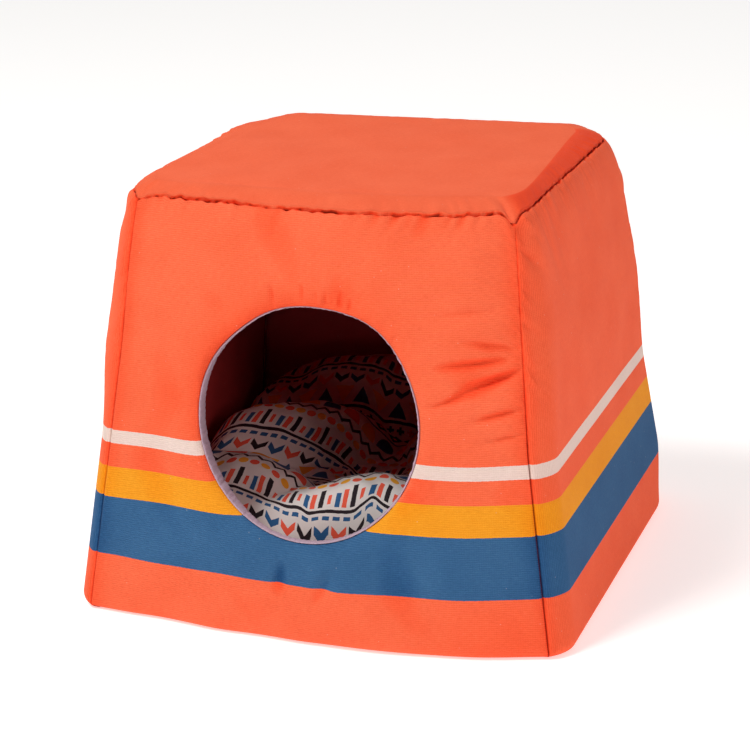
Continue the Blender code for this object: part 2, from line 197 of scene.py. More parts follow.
def ease(share):
    """0 up to 0, rising smoothly to 1 at 1."""
    share = np.clip(share, 0.0, 1.0)
    return share * share * (3.0 - 2.0 * share)


def roll(distance, run):
    """1 at an edge, falling to 0 at the run, as a rounded edge does."""
    share = 1.0 - ramp(distance, run)
    return 1.0 - np.sqrt(np.maximum(1.0 - share * share, 0.0))


def end_spaced(count, crowd=1.0):
    """Shares from 0 to 1, closer together at both ends."""
    even = np.linspace(0.0, 1.0, count + 1)
    return mix(even, 0.5 - 0.5 * np.cos(math.pi * even), crowd)


def places(*coordinates):
    """An array of places from their coordinates."""
    return np.stack(np.broadcast_arrays(*coordinates), -1)


def half_width(z):
    return mix(FOOT_WIDTH, TOP_WIDTH, z / HEIGHT) / 2


def half_depth(z):
    return mix(FOOT_DEPTH, TOP_DEPTH, z / HEIGHT) / 2


def wander(a, b, scale, seed):
    """Smooth uneven values from -1 to 1 over two coordinates."""
    a, b = np.broadcast_arrays(a, b)
    flat = [noise.noise(Vector((p / scale, q / scale, seed))) for p, q in zip(a.ravel(), b.ravel())]
    return 2.0 * np.array(flat).reshape(a.shape)


def smooth_noise(scale, seed, x, y, z=0.0):
    """Smooth uneven values from -1 to 1 over places in space."""
    spots = places(x, y, z)
    start = Vector((seed, -seed, seed))
    flat = [noise.noise(Vector(spot) / scale + start) for spot in spots.reshape(-1, 3).tolist()]
    return 2.0 * np.array(flat).reshape(spots.shape[:-1])


def puckers(along, away, gathers, seed):
    """The height of small gathers that start at a seam and die out away from it."""
    height, pitch, reach, slant = gathers
    ridges = wander(along + slant * away, away * 0.15, pitch, seed)
    strength = 0.5 + 0.5 * wander(along, 0.0, pitch * 6, seed + 5.0)
    return height * (ridges * strength * np.exp(-away / reach))


def crease(x, y, start, end, breadth):
    """1 on a soft crease from start to end, falling to 0 beside and beyond it."""
    run = Vector(end) - Vector(start)
    across_x, across_y = run.x / run.length, run.y / run.length
    along = (x - start[0]) * across_x + (y - start[1]) * across_y
    beside = (x - start[0]) * -across_y + (y - start[1]) * across_x
    return np.sin(math.pi * ramp(along, run.length)) * np.exp(-(beside / breadth) ** 2)


def new_piece(name, points, faces, on_cloth, cloth, shade):
    """A mesh object with its cloth coordinates, in metres, as its UV map, and its points' shade."""
    material, slot = cloth
    mesh = bpy.data.meshes.new(name)
    mesh.from_pydata(points.tolist(), [], faces)
    corners = np.zeros(len(mesh.loops), dtype=np.int32)
    mesh.loops.foreach_get("vertex_index", corners)
    layer = mesh.uv_layers.new(name="cloth")
    layer.data.foreach_set("uv", np.asarray(on_cloth, dtype=np.float32)[corners].ravel())
    shades = np.zeros(len(points), dtype=np.float32)
    if shade is not None:
        shades[:shade.size] = shade.ravel()
    mesh.attributes.new("shade", "FLOAT", "POINT").data.foreach_set("value", shades)
    shaped = bmesh.new()
    shaped.from_mesh(mesh)
    bmesh.ops.recalc_face_normals(shaped, faces=shaped.faces[:])
    shaped.to_mesh(mesh)
    shaped.free()
    mesh.materials.append(material)
    mesh.shade_smooth()
    piece = bpy.data.objects.new(name, mesh)
    bpy.context.scene.collection.objects.link(piece)
    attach(piece, "root")
    return piece


def padded_slab(name, outer, inner, on_cloth, cloth, shade=None):
    """A closed pad between two matching grids of points."""
    rows, columns = outer.shape[:2]
    count = rows * columns
    index = np.arange(count).reshape(rows, columns)
    first = index[:-1, :-1].ravel()
    grid = np.stack([first, first + 1, first + columns + 1, first + columns], axis=1)
    rim = np.concatenate([index[0, :], index[1:, -1], index[-1, -2::-1], index[-2:0:-1, 0]])
    after = np.roll(rim, -1)
    band = np.stack([rim, after, after + count, rim + count], axis=1)
    faces = np.concatenate([grid, grid + count, band]).tolist()
    points = np.concatenate([outer.reshape(-1, 3), inner.reshape(-1, 3)])
    return new_piece(name, points, faces, np.concatenate([on_cloth.reshape(-1, 2)] * 2), cloth, shade)


def looped(name, loops, on_cloth, cloth, ends=None, shade=None):
    """A closed skin through loops of points: back to the first, or closed by two end points."""
    rows, columns = loops.shape[:2]
    points = loops.reshape(-1, 3)
    place = on_cloth.reshape(-1, 2)
    step = np.arange(columns)
    after = (step + 1) % columns
    faces = []
    for row in range(rows if ends is None else rows - 1):
        low = row * columns
        high = (row + 1) % rows * columns
        faces += np.stack([low + step, low + after, high + after, high + step], axis=1).tolist()
    if ends is not None:
        tips = len(points)
        points = np.concatenate([points, np.array(ends)[:, :3]])
        place = np.concatenate([place, np.array(ends)[:, 3:]])
        for tip, low in ((tips, 0), (tips + 1, (rows - 1) * columns)):
            faces += np.stack([low + step, low + after, np.full(columns, tip)], axis=1).tolist()
    return new_piece(name, points, faces, place, cloth, shade)


# Materials

def maths(operation, clamp=False):
    """A method of Value that works an operation out with a maths node."""
    def worked_out(self, other=None):
        node = add_node(self.tree, "Math", operation=operation, use_clamp=clamp)
        inputs = {0: self} if other is None else {0: self, 1: other}
        set_inputs(self.tree, node, inputs)
        return Value(self.tree, node.outputs[0])
    return worked_out


class Value:
    """A number in a node tree. Arithmetic on it adds the maths nodes that work it out."""

    def __init__(self, tree, socket):
        self.tree = tree
        self.socket = socket

    __add__ = maths("ADD")
    __sub__ = maths("SUBTRACT")
    __mul__ = maths("MULTIPLY")
    __truediv__ = maths("DIVIDE")
    __mod__ = maths("FLOORED_MODULO")
    __pow__ = maths("POWER")
    __abs__ = maths("ABSOLUTE")
    __lt__ = maths("LESS_THAN")
    __gt__ = maths("GREATER_THAN")
    larger = maths("MAXIMUM")
    sine = maths("SINE")
    floor = maths("FLOOR")
    fract = maths("FRACT")
    clamped_plus = maths("ADD", clamp=True)


def set_inputs(tree, node, inputs):
    """Set a node's inputs to numbers and colours, or link them to other nodes' outputs."""
    for label, value in inputs.items():
        socket = node.inputs[label]
        if isinstance(value, Value):
            value = value.socket
        if isinstance(value, bpy.types.NodeSocket):
            tree.links.new(value, socket)
        elif socket.type == "RGBA":
            socket.default_value = (*value, 1.0)
        else:
            socket.default_value = value


def add_node(tree, kind, inputs=None, **settings):
    node = tree.nodes.new("ShaderNode" + kind)
    for name, value in settings.items():
        setattr(node, name, value)
    set_inputs(tree, node, inputs or {})
    return node


def mix_colour(tree, share, first, second, blend="MIX"):
    node = add_node(tree, "Mix", data_type="RGBA", blend_type=blend)
    set_inputs(tree, node, {0: share, 6: first, 7: second})
    return node.outputs[2]


def noise_value(tree, vector, scale, detail=2.0):
    """Uneven values from 0 to 1 over a vector, by one scale or by a scale for each axis."""
    if isinstance(scale, tuple):
        vector = add_node(tree, "Mapping", {"Vector": vector, "Scale": scale}).outputs["Vector"]
        scale = 1.0
    node = add_node(tree, "TexNoise", {"Vector": vector, "Scale": scale, "Detail": detail})
    return Value(tree, node.outputs["Fac"])


def axes(tree, vector):
    """A vector's X, Y and Z."""
    return [Value(tree, part) for part in add_node(tree, "SeparateXYZ", {0: vector}).outputs]


def cloth_place(tree):
    return add_node(tree, "UVMap", uv_map="cloth").outputs["UV"]


def shade_value(tree):
    return Value(tree, add_node(tree, "Attribute", attribute_name="shade").outputs["Fac"])


def group_with(name, inputs, outputs):
    """An empty shader node group with its named sockets."""
    group = bpy.data.node_groups.new(name, "ShaderNodeTree")
    for sockets, way in ((inputs, "INPUT"), (outputs, "OUTPUT")):
        for label, kind in sockets.items():
            group.interface.new_socket(label, in_out=way, socket_type="NodeSocket" + kind)
    return group, group.nodes.new("NodeGroupInput").outputs, group.nodes.new("NodeGroupOutput")


def ribbed_weave():
    """Fine ribs across the cloth, uneven yarns, soft clouds and specks of lint."""
    group, given, result = group_with(
        "ribbed_weave",
        {"Colour": "Color", "Rib Pitch": "Float", "Unevenness": "Float", "Lint": "Float"},
        {"Colour": "Color", "Height": "Float", "Roughness": "Float"})
    place = cloth_place(group)
    along, up, _ = axes(group, place)
    drift = noise_value(group, place, (45.0, 70.0, 1.0))
    rib = ((up / given["Rib Pitch"] + drift) * (2.0 * math.pi)).sine()
    warp = ((along / given["Rib Pitch"] * 1.35 + drift) * (2.0 * math.pi)).sine()
    yarns = noise_value(group, place, (260.0, 1500.0, 1.0))
    grain = noise_value(group, place, (1300.0, 1300.0, 1.0), 1.0)
    clouds = noise_value(group, place, 24.0, 3.0)
    tone = rib * 0.042 + warp * 0.024
    for value, strength in ((yarns, 0.25), (grain, 0.18), (clouds, 0.15)):
        tone = tone + (value - 0.5) * strength
    tone = tone * given["Unevenness"]
    # Low tone turns the colour deeper and a little darker: uneven yarns' own tone, and painted shade in the
    # rib troughs.
    deepened = add_node(group, "Gamma", {"Color": given["Colour"], "Gamma": tone * -0.45 + 1.0})
    darker = tone * 0.30 + 1.0
    grey = add_node(group, "CombineXYZ", {0: darker, 1: darker, 2: darker})
    toned = mix_colour(group, 1.0, deepened.outputs["Color"], grey.outputs[0], "MULTIPLY")
    specks = add_node(group, "TexVoronoi", {"Vector": place, "Scale": 95.0})
    speck = (Value(group, specks.outputs["Distance"]) < 0.042) * given["Lint"]
    set_inputs(group, result, {
        "Colour": mix_colour(group, speck, toned, LINT),
        "Height": rib * 0.5 + yarns * 0.9 + warp * 0.2,
        "Roughness": yarns * 0.2 + 0.66,
    })
    return group


def woven_cloth(name, slot, weave, colour, pitch, unevenness, bump, sheen, specular=0.1, lint=0.25):
    """A material and its slot: a weave over a plain colour, or over one that a function makes."""
    material = bpy.data.materials.new(name)
    material.use_nodes = True
    tree = material.node_tree
    if not isinstance(colour, tuple):
        colour = colour(tree)
    cloth = add_node(tree, "Group", node_tree=weave)
    set_inputs(tree, cloth, {
        "Colour": colour, "Rib Pitch": pitch, "Unevenness": unevenness, "Lint": lint})
    raised = add_node(tree, "Bump", {
        "Distance": bump, "Strength": 0.5, "Height": cloth.outputs["Height"]})
    set_inputs(tree, tree.nodes["Principled BSDF"], {
        "Base Color": cloth.outputs["Colour"],
        "Roughness": cloth.outputs["Roughness"],
        "Normal": raised.outputs["Normal"],
        "Sheen Weight": sheen,
        "Sheen Roughness": 0.4,
        "Specular IOR Level": specular,
    })
    return material, slot


# The cushion's print: bands across the cloth, each a motif, its lower and upper edge, the
# breadth of its repeat and its inks. The bands repeat after PRINT_PERIOD.
INK_DARK = (0.022, 0.014, 0.018)
INK_BLUE = (0.028, 0.120, 0.29)
INK_CORAL = (0.90, 0.120, 0.065)
INK_YELLOW = (0.93, 0.42, 0.036)
PRINT_GROUND = (0.82, 0.78, 0.75)
PRINT_SHIFT = 0.022
PRINT_PERIOD = 0.125
PRINT_BANDS = (
    ("line", 0.0000, 0.0026, 0.020, (INK_DARK,)),
    ("bars", 0.0045, 0.0215, 0.026, (INK_BLUE, INK_CORAL, INK_DARK)),
    ("dots", 0.0238, 0.0300, 0.0095, (INK_YELLOW, INK_CORAL)),
    ("zigzag", 0.0318, 0.0400, 0.012, (INK_DARK,)),
    ("half_discs", 0.0422, 0.0552, 0.019, (INK_CORAL, INK_YELLOW, INK_BLUE)),
    ("line", 0.0570, 0.0590, 0.020, (INK_BLUE,)),
    ("diamonds", 0.0606, 0.0738, 0.0145, (INK_DARK, INK_CORAL)),
    ("crosses", 0.0756, 0.0822, 0.0090, (INK_CORAL, INK_BLUE, INK_DARK)),
    ("line", 0.0842, 0.0868, 0.020, (INK_DARK,)),
    ("pennants", 0.0888, 0.1030, 0.0165, (INK_YELLOW, INK_BLUE)),
    ("chevrons", 0.1052, 0.1176, 0.0140, (INK_CORAL, INK_DARK, INK_BLUE)),
    ("dashes", 0.1196, 0.1226, 0.0085, (INK_BLUE,)),
)


def near_to(value, middle, reach):
    """1 where a value lies within the reach of a middle value."""
    return abs(value - middle) < reach


def from_middle(share):
    """0 in the middle of a band or a repeat, 1 at its edges."""
    return abs(share - 0.5) * 2.0


def every(cell, count, turn):
    """1 in the cells whose number leaves the given remainder."""
    return near_to(cell % float(count), float(turn), 0.5)


def motif_masks(motif, height, across, cell, inks):
    """(mask, ink) pairs for one motif, in shares of its band's height and of its repeat."""
    if motif == "line":
        return [(near_to(height, 0.5, 0.5), inks[0])]
    if motif == "bars":
        masks = []
        for place, ink in zip((0.14, 0.36, 0.62), inks):
            masks.append((near_to(across, place, 0.075) * (height < 0.55 + 0.6 * place), ink))
        return masks + [(near_to(across, 0.87, 0.055) * near_to(height, 0.35, 0.22), inks[1])]
    beside = from_middle(across)
    if motif == "zigzag":
        return [(near_to(beside * 0.62, height - 0.19, 0.19), inks[0])]
    if motif == "diamonds":
        out = beside * 1.04 + from_middle(height)
        return [(out < 1.0, inks[0]), (out < 0.30, inks[1])]
    if motif == "pennants":
        shape = beside * 1.02 < abs(every(cell, 2, 1) - height)
    elif motif == "crosses":
        upright = near_to(across, 0.5, 0.12) * near_to(height, 0.5, 0.48)
        shape = upright.larger(near_to(across, 0.5, 0.36) * near_to(height, 0.5, 0.17))
    elif motif == "half_discs":
        shape = (beside * 1.15) ** 2.0 + height ** 2.0 < 0.92
    elif motif == "dots":
        shape = (beside * 1.15) ** 2.0 + from_middle(height) ** 2.0 < 0.9
    elif motif == "chevrons":
        shape = near_to(height, beside * 0.48 + 0.24, 0.21) * (beside < 0.86)
    else:
        shape = near_to(across, 0.5, 0.33)
    return [(shape * every(cell, len(inks), turn), ink) for turn, ink in enumerate(inks)]


def band_print():
    """Bands of plain shapes in four inks on an off-white ground, with slightly unsteady edges."""
    group, _, result = group_with("band_print", {}, {"Colour": "Color"})
    place = cloth_place(group)
    uneven = add_node(group, "TexNoise", {"Vector": place, "Scale": 160.0})
    shifted = add_node(group, "VectorMath", operation="MULTIPLY_ADD")
    set_inputs(group, shifted, {0: uneven.outputs["Color"], 1: (0.0011, 0.0011, 0.0), 2: place})
    along, up, _ = axes(group, shifted.outputs[0])
    up = (up + PRINT_SHIFT) % PRINT_PERIOD
    colour = PRINT_GROUND
    for motif, low, high, pitch, inks in PRINT_BANDS:
        inside = near_to(up, (low + high) / 2, (high - low) / 2)
        height = (up - low) / (high - low)
        turns = along / pitch
        for mask, ink in motif_masks(motif, height, turns.fract(), turns.floor(), inks):
            colour = mix_colour(group, mask * inside, colour, ink)
    set_inputs(group, result, {"Colour": colour})
    return group


def wall_stripes_with_shade(tree):
    """Orange with a white, a yellow and a blue stripe at set heights, and its painted shade and seam shadow.
    """
    where = add_node(tree, "TexCoord").outputs["Object"]
    edge = noise_value(tree, where, (900.0, 900.0, 900.0)) - 0.5
    height = axes(tree, where)[2] + edge * 0.0006
    colour = ORANGE
    for (low, high), ink in ((WHITE_STRIPE, OFF_WHITE), (YELLOW_STRIPE, YELLOW), (BLUE_STRIPE, BLUE)):
        colour = mix_colour(tree, (height > low) * (height < high), colour, ink)
    twice = shade_value(tree) * 2.0
    deeper = twice.clamped_plus(0.0) * SHADE_DEEPENING + 1.0
    deepened = add_node(tree, "Gamma", {"Color": colour, "Gamma": deeper})
    return mix_colour(tree, twice.clamped_plus(-1.0), deepened.outputs["Color"], SEAM_SHADOW_COLOUR)


def cushion_print_with_shade(tree):
    """The bands, with the painted shade of the dim inside multiplied in by the cushion's shade."""
    bands = add_node(tree, "Group", node_tree=band_print())
    return mix_colour(tree, shade_value(tree), bands.outputs["Colour"], CABIN_SHADE_TINT, "MULTIPLY")


# The shell's shapes

def front_seam(z, right):
    """How far a front seam lies from the side wall's plane."""
    if right:
        return SEAM_FROM_SIDE - RIGHT_SEAM_SHIFT * ramp(z - SEAM_SHIFT_FROM, SEAM_Z - SEAM_SHIFT_FROM)
    return SEAM_FROM_SIDE - LEFT_SEAM_OFFSET - LEFT_SEAM_SHIFT * ease((z - 0.20) / 0.08)


def back_corner_extra(z, right):
    """How much rounder a back corner is at the foot and the roof."""
    top = RIGHT_BACK_EXTRA if right else LEFT_BACK_EXTRA
    return np.maximum(BACK_FOOT_EXTRA * (1.0 - ease(z / BACK_FOOT_RUN)),
                      top * ease((z - SEAM_Z + BACK_TOP_RUN) / BACK_TOP_RUN))


def back_seam(z, right):
    return SEAM_FROM_SIDE + back_corner_extra(z, right)


def front_edges(z):
    """X of the front wall's left and right seams."""
    return -half_width(z) + front_seam(z, False) + GAP / 2, half_width(z) - front_seam(z, True) - GAP / 2


def seam_inset(from_seam, z):
    """How far the cloth lies below its flat face near a seam, the roof or the foot."""
    inset = SEAM_DEPTH * np.maximum(roll(from_seam, SEAM_ROLL), roll(WALL_TOP - z, SEAM_ROLL))
    inset = inset + SEAM_NICK * np.exp(-from_seam / NICK_RUN)
    return np.maximum(inset, FOOT_ROLL * roll(z, FOOT_ROLL))


def swell(z, low, from_seam, run):
    """1 a little under the roof's seam, 0 at that seam, at the low height and at the side seams."""
    upright = (1.0 - roll(SEAM_Z - z, SWELL_RUN)) * ease((z - low) / SWELL_FADE)
    return upright * ramp(from_seam, run)


def corner_dip(x, y):
    """How far the roof's seam dips near the two front corners."""
    return sum(depth * np.exp(-((x - at_x) / run_x) ** 2 - ((y - at_y) / run_y) ** 2)
               for at_x, at_y, run_x, run_y, depth in CORNER_DIPS)


def seam_wobble(x, y):
    """The small scallops and wander of the roof's hand-guided seam."""
    return 0.0010 * smooth_noise(0.0065, 3.0, x, y) + 0.0009 * smooth_noise(0.045, 5.0, x, y)


def roof_seam_shadow(x, y):
    """Painted shadow where the roof's seam gapes: up to 0.9, and 0 where the cloth closes over it."""
    return np.clip(0.44 + 1.1 * smooth_noise(0.0050, 7.0, x, y), 0.0, 0.9)


def seam_shade(from_seam, z, x, y):
    """Painted shade by a wall's seams: 1 on the seam's thin shadow line, less than 0.5 where the cloth is a
    deeper red.
    """
    beside = np.maximum(np.exp(-(from_seam / SEAM_SHADOW_LINE) ** 2),
                        BESIDE_SEAM_SHADE * np.exp(-(from_seam / 0.010) ** 2))
    under = np.exp(-(np.maximum(WALL_TOP - z, 0.0) / ROOF_SEAM_SHADOW_LINE) ** 2) * roof_seam_shadow(x, y)
    return np.maximum(beside, under)


def along_roof_seam(x, y, z):
    """Places on a wall, lowered near its top as the roof's seam dips and wobbles."""
    near = np.exp(-np.maximum(SEAM_Z - z, 0.0) / 0.016)
    return places(x, y, z + (seam_wobble(x, y) - corner_dip(x, y)) * near)


def front_bow(x, z):
    """How far the front wall bows out in front of its flat face."""
    share = x / (half_width(z) - SEAM_FROM_SIDE)
    tuck = FRONT_FOOT_TUCK * (1.0 - ease(z / FOOT_TUCK_RUN))
    height = mix(FRONT_BOW_FOOT, FRONT_BOW_TOP, z / HEIGHT) - tuck
    return height * np.maximum(1.0 - share * share, 0.0) * (1.0 + FRONT_BOW_SKEW * share)


def door_radius(angle):
    """The cut edge isn't a true circle: the cloth is pulled out at the upper right."""
    turned = np.degrees(angle) % 360.0
    return DOOR_RADIUS + sum(pull * np.exp(-((turned - at) / spread) ** 2) for at, spread, pull in DOOR_PULLS)


def door_angle(x, z):
    return np.arctan2((z - DOOR_HEIGHT) / math.cos(FRONT_LEAN), x - DOOR_MIDDLE)


def door_point(radius, angle):
    return DOOR_MIDDLE + radius * np.cos(angle), DOOR_HEIGHT + radius * np.sin(angle) * math.cos(FRONT_LEAN)


def door_distance(x, z):
    """How far a place lies outside the doorway's edge."""
    reach = np.hypot(x - DOOR_MIDDLE, (z - DOOR_HEIGHT) / math.cos(FRONT_LEAN))
    return reach - door_radius(door_angle(x, z))


def mitred(x, z, depth):
    """A place on a front or back panel at a depth below its face: the panel is smaller there."""
    span = half_width(z) - SEAM_FROM_SIDE
    return x * (1.0 - depth * SIDE_MITRE / span), z * (1.0 - depth * ROOF_MITRE / SEAM_Z)


def panel_border(edges, low, high, steps):
    """Points (x, z) round a front panel or lining, anticlockwise from its lower left corner."""
    shares = end_spaced(steps, 0.75)[:-1]
    up = mix(low, high, shares)
    down = mix(high, low, shares)
    x = np.concatenate([mix(*edges(low), shares), edges(up)[1],
                        mix(*edges(high)[::-1], shares), edges(down)[0]])
    z = np.concatenate([np.full(steps, low), up, np.full(steps, high), down])
    return x, z


def panel_loops(border, offsets, shares):
    """Loops (x, z) from the doorway's edge out to the border."""
    x, z = border
    angle = door_angle(x, z)
    loops = [door_point(door_radius(angle) + offset, angle) for offset in offsets]
    start_x, start_z = loops[-1]
    loops += [(mix(start_x, x, share), mix(start_z, z, share)) for share in shares]
    return np.array(loops).swapaxes(0, 1)


# Soft creases in the front wall, as in the photograph: start and end (x, z), breadth, and
# depth before it is multiplied by CREASE_DEPTH.
CREASE_DEPTH = 2.8
FRONT_CREASES = (
    ((0.104, 0.190), (0.166, 0.217), 0.0036, 0.0019),
    ((0.092, 0.214), (0.158, 0.222), 0.0034, 0.0013),
    ((0.114, 0.201), (0.154, 0.209), 0.0026, 0.0009),
    ((0.118, 0.174), (0.168, 0.187), 0.0034, 0.0014),
    ((0.088, 0.184), (0.118, 0.194), 0.0028, 0.0010),
    ((0.108, 0.236), (0.164, 0.226), 0.0040, 0.0012),
    ((0.096, 0.253), (0.150, 0.257), 0.0040, 0.0010),
    ((0.126, 0.160), (0.170, 0.168), 0.0032, 0.0010),
    ((0.028, 0.066), (0.006, 0.028), 0.0060, 0.0013),
    ((-0.016, 0.066), (-0.022, 0.036), 0.0050, 0.0010),
    ((-0.0260, 0.2485), (-0.0290, 0.2710), 0.0022, 0.0010),
    ((-0.0030, 0.2525), (-0.0040, 0.2730), 0.0021, 0.0009),
    ((0.0070, 0.2523), (0.0080, 0.2690), 0.0018, 0.0007),
    ((0.0130, 0.2515), (0.0150, 0.2700), 0.0018, 0.0008),
    ((0.0240, 0.2490), (0.0265, 0.2690), 0.0020, 0.0009),
    ((0.0310, 0.2470), (0.0345, 0.2640), 0.0018, 0.0007),
    ((0.0620, 0.2270), (0.0710, 0.2410), 0.0022, 0.0008),
)


def front_wrinkles(x, z, from_seam):
    """Height of the small folds on the front wall's cloth."""
    away = door_distance(x, z)
    angle = np.arctan2(z - DOOR_HEIGHT, x)
    upper = 0.30 + 0.70 * np.clip(np.sin(angle), 0, 1)
    folds = puckers(angle * DOOR_RADIUS, away, DOOR_GATHERS, 2.0) * upper
    gathered = ease((z - GATHERS_FROM) / 0.12) * mix(0.4, 1.0, ease(0.5 + x / 0.1))
    folds += gathered * puckers(z, from_seam, FRONT_SEAM_GATHERS, 4.0)
    folds += puckers(x, SEAM_Z - z, FRONT_ROOF_GATHERS, 6.0)
    folds += 0.0015 * smooth_noise(0.050, 8.0, x, z)
    for start, end, breadth, depth in FRONT_CREASES:
        folds -= CREASE_DEPTH * depth * crease(x, z, start, end, breadth)
    return folds * ramp(away, 0.004)


def painted_fold_shade(lift):
    """Painted shade: the cloth turned a deeper red in the low places of its folds."""
    return FOLD_SHADE * ramp(-lift - 0.0008, 0.0024)


def doorway_shade(x, z):
    """Painted shade: the cloth turned a deeper red close round the upper left of the doorway."""
    angle = np.arctan2(z - DOOR_HEIGHT, x)
    share = np.clip(0.25 + 0.75 * np.cos(angle - math.radians(125)), 0.0, 1.0)
    return DOOR_SHADE * share * np.exp(-np.maximum(door_distance(x, z), 0.0) / 0.009)


def front_panel(cloth):
    """The padded front wall, in loops round the doorway: its outer face, then its inner one."""
    border = panel_border(front_edges, 0.0, WALL_TOP, 230)
    offsets = (0.0, 0.0006, 0.0015, 0.003, 0.005, 0.0075, 0.0105, 0.014, 0.018)
    x, z = panel_loops(border, offsets, end_spaced(60, 0.75)[1:])
    left, right = front_edges(z)
    from_seam = np.maximum(np.minimum(x - left, right - x), 0.0)
    inset = seam_inset(from_seam, z)
    folds = front_wrinkles(x, z, from_seam) * mix(0.03, 1.0, ease(from_seam / 0.0045))
    lift = folds + FRONT_SWELL * swell(z, 0.17, from_seam, 0.03)
    mx, mz = mitred(x, z, inset)
    y = -half_depth(mz) - front_bow(mx, mz) + DOOR_FRONT_ROLL * roll(door_distance(mx, mz), DOOR_ROLL_RUN)
    y = y + inset - lift

    def inner_edges(height):
        return -half_width(height) + WALL_THICK + GAP / 2, half_width(height) - WALL_THICK - GAP / 2

    inner_border = panel_border(inner_edges, 0.0, INNER_TOP, 230)
    ix, iz = panel_loops(inner_border, (0.0, 0.006, 0.013, 0.020, 0.026), (0.25, 0.5, 0.75, 1.0))
    inner = places(ix, front_back_face(ix, iz), iz)
    loops = np.concatenate([along_roof_seam(mx, y, mz), inner[::-1]])
    on_cloth = np.concatenate([places(x, z / math.cos(FRONT_LEAN)), places(ix, iz)[::-1]])
    # Painted shade: the front wall's lower right, its seams, the doorway's upper left and the low places of
    # its folds are coloured a deeper red, and the seams carry a painted shadow line.
    low_right_shade = LOW_RIGHT_SHADE * ease((x - 0.08) / 0.09) * ease((0.075 - z) / 0.06)
    shade = np.maximum(seam_shade(from_seam, z, mx, y), doorway_shade(x, z))
    shade = np.maximum(shade, np.maximum(painted_fold_shade(folds), low_right_shade))
    return looped("front_wall", loops, on_cloth, cloth, shade=shade)


def door_edge_thick(x, z):
    """The doorway's edge is pressed thinner at its foot, where the cushion pushes."""
    low = ease((DOOR_HEIGHT - z) / DOOR_RADIUS) * ease((x + 0.075) / 0.05)
    return mix(DOOR_EDGE_THICK, DOOR_FOOT_THICK, low)


def front_back_face(x, z):
    """Y of the front wall's inner side, which thins towards the doorway."""
    at_door = door_edge_thick(x, z) + DOOR_FRONT_ROLL
    thick = mix(at_door, WALL_THICK, ease(door_distance(x, z) / DOOR_THIN_RUN))
    return -half_depth(z) - front_bow(x, z) + thick


def back_panel(cloth):
    row = end_spaced(150, 0.8)[:, None]
    side = 2.0 * end_spaced(130, 0.8)[None, :] - 1.0
    z = row * WALL_TOP
    left = -half_width(z) + back_seam(z, False) + GAP / 2
    right = half_width(z) - back_seam(z, True) - GAP / 2
    x = mix(left, right, 0.5 + 0.5 * side)
    from_seam = np.minimum(x - left, right - x)
    inset = seam_inset(from_seam, z)
    crown = BACK_BOW * (1.0 - side * side) * np.sin(math.pi * row)
    folds = puckers(z, from_seam, BACK_SEAM_GATHERS, 14.0) + puckers(x, SEAM_Z - z, BACK_ROOF_GATHERS, 16.0)
    folds += 0.0014 * smooth_noise(0.07, 18.0, x, z) + FRONT_SWELL * swell(z, 0.17, from_seam, 0.03)
    mx, mz = mitred(x, z, inset)
    y = half_depth(mz) + crown - inset + folds * np.clip(from_seam / 0.002, 0.2, 1)
    inner_z = row * INNER_TOP
    inner_x = side * (half_width(inner_z) - WALL_THICK - GAP / 2)
    inner = places(inner_x, half_depth(inner_z) - WALL_THICK, inner_z)
    # Painted shade and a painted shadow line along the back wall's seams.
    shade = seam_shade(from_seam, z, mx, y)
    return padded_slab("back_wall", along_roof_seam(mx, y, mz), inner, places(x, z), cloth, shade)


CORNER_STEPS = 16
SIDE_STEPS = 160


def corner_curve(leave, arrive):
    """The wrap from a seam to the side's flat, as shares of the corner's breadth and run."""
    t = np.linspace(0.0, 1.0, CORNER_STEPS + 1)
    near, far = 3 * (1 - t) ** 2 * t, 3 * (1 - t) * t ** 2
    return [near * leave[axis] + far * arrive[axis] + t ** 3 for axis in (0, 1)]


def side_section(z, right):
    """Outer x, y, normal and distance walked from the front seam, along a side wall at heights z."""
    wide = half_width(z)
    deep = half_depth(z)
    across, back = corner_curve((0.46, 0.18), (1.0, 0.58))
    front_x = wide - front_seam(z, right) * (1.0 - across)
    front_y = -deep + mix(CORNER_RUN, TOP_CORNER_RUN, ease((z - 0.12) / 0.18)) * back
    back_x = wide - back_seam(z, right) * (1.0 - across)
    back_y = deep - (CORNER_RUN + 1.4 * back_corner_extra(z, right)) * back
    flat_y = mix(front_y[..., -1:], back_y[..., -1:], end_spaced(SIDE_STEPS, 0.7)[1:-1])
    x = np.concatenate([front_x, wide + 0.0 * flat_y, back_x[..., ::-1]], axis=-1)
    y = np.concatenate([front_y, flat_y, back_y[..., ::-1]], axis=-1)
    dx, dy = np.gradient(x, axis=-1), np.gradient(y, axis=-1)
    size = np.hypot(dx, dy)
    step = np.hypot(np.diff(x, axis=-1), np.diff(y, axis=-1))
    walked = np.concatenate([np.zeros(step.shape[:-1] + (1,)), np.cumsum(step, axis=-1)], axis=-1)
    return x, y, dy / size, -dx / size, walked


def inner_columns(deep):
    """Y of the inner points that match a side wall's section, packed at its corners."""
    corner = -deep + 0.0001 * np.arange(CORNER_STEPS + 1)
    flat = mix(corner[..., -1:], -corner[..., -1:], end_spaced(SIDE_STEPS, 0.7)[1:-1])
    return np.concatenate([corner, flat, -corner[..., ::-1]], axis=-1)


